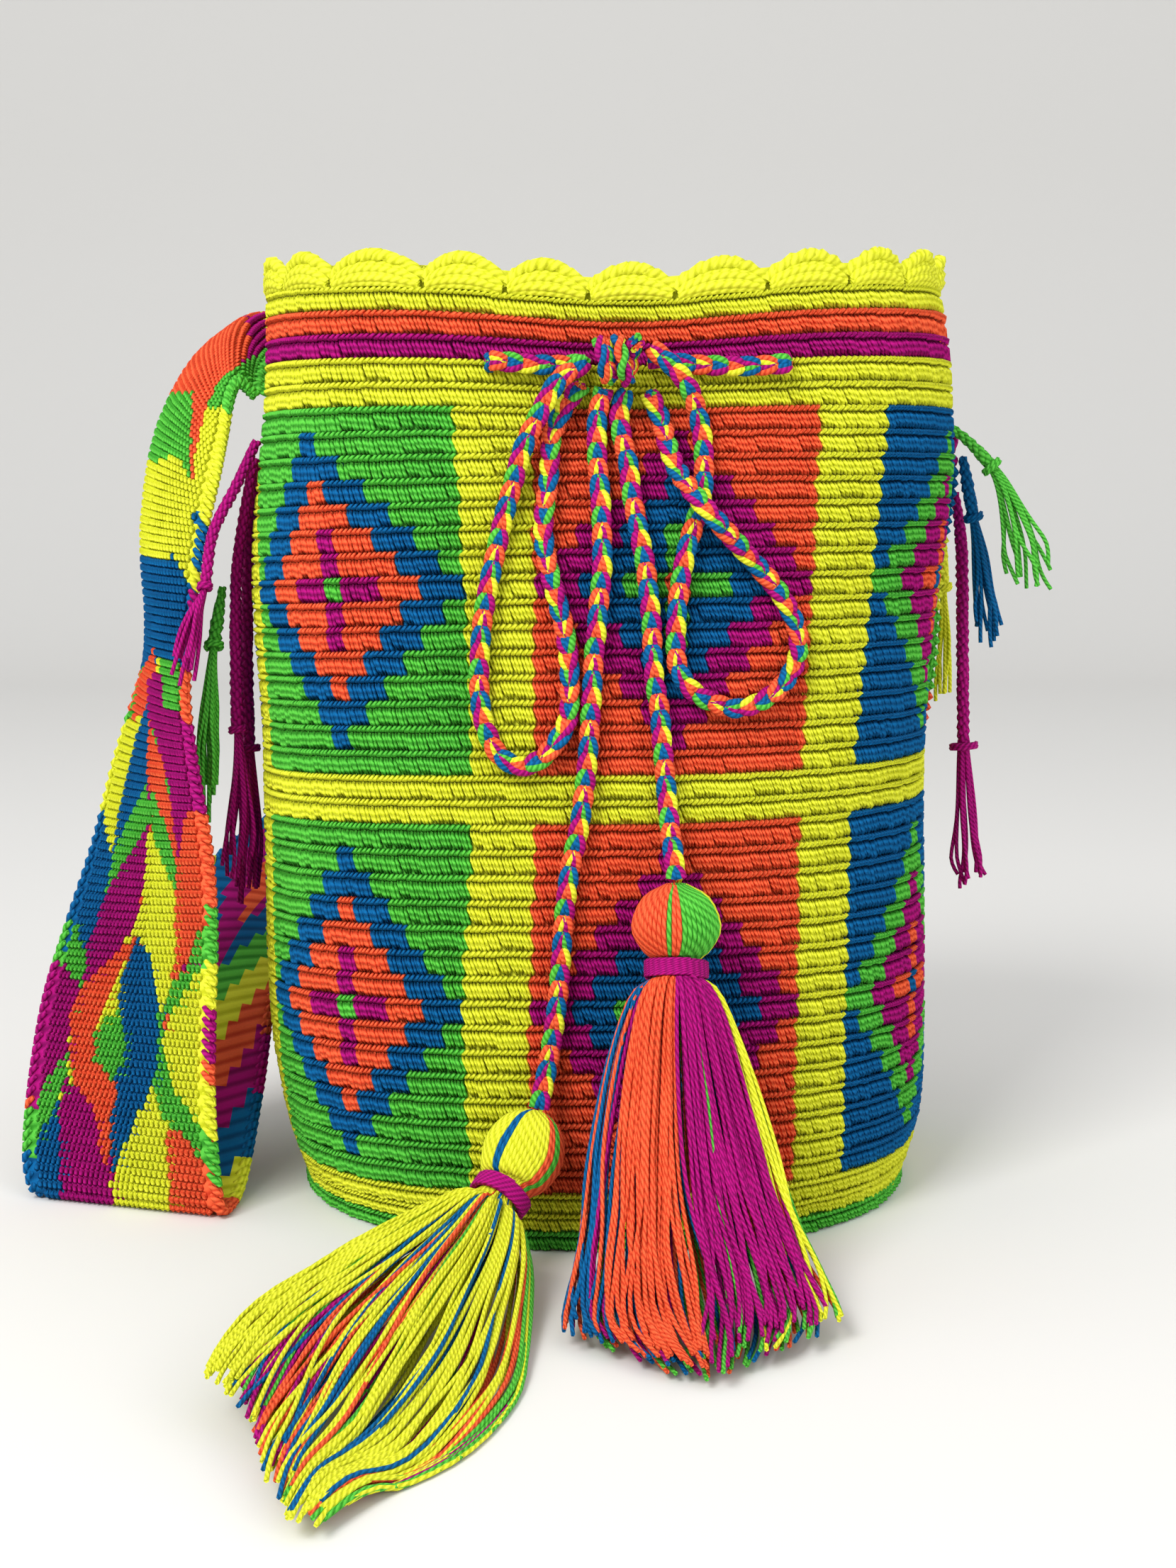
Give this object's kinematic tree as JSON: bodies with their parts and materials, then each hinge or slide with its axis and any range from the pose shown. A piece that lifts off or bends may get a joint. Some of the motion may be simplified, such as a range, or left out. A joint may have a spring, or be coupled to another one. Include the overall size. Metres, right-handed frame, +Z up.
{
  "type": "wayuu mochila bag",
  "caption": "Crocheted bucket bag with a scalloped open mouth, a geometric diamond pattern, a woven shoulder strap and a braided drawstring tied in a bow with tassels.",
  "frame": {"origin": "middle of the flat underside of the base, on the floor", "axes": "+Z up out of the mouth, -Y towards the bow on the front, +X to the bag's right as seen from the front"},
  "size_m": [0.3249, 0.3834, 0.2875],
  "materials": {
    "crochet": "matte",
    "strap_weave": "matte",
    "drawstring_braid": "matte",
    "yellow_yarn": "matte",
    "magenta_yarn": "matte",
    "orange_yarn": "matte",
    "green_yarn": "matte",
    "blue_yarn": "matte"
  },
  "bodies": {
    "root": {"bag_body": "crochet", "strap": "strap_weave", "drawstring_inside": "drawstring_braid", "drawstring_front_left": "drawstring_braid", "drawstring_front_right": "drawstring_braid", "bow_knot": "drawstring_braid", "bow_loop_left": "drawstring_braid", "bow_loop_right": "drawstring_braid", "tail_left": "drawstring_braid", "tail_right": "drawstring_braid", "tassel_left_yarn": "yellow_yarn", "tassel_left_binding": "magenta_yarn", "tassel_right_yarn": "orange_yarn", "tassel_right_binding": "magenta_yarn", "strap_end_left_front": "magenta_yarn", "strap_end_left_middle": "magenta_yarn", "strap_end_left_rear": "magenta_yarn", "strap_end_left_green": "green_yarn", "strap_end_right_green": "green_yarn", "strap_end_right_blue": "blue_yarn", "strap_end_right_magenta": "magenta_yarn", "strap_end_right_yellow": "yellow_yarn"}
  },
  "joints": []
}
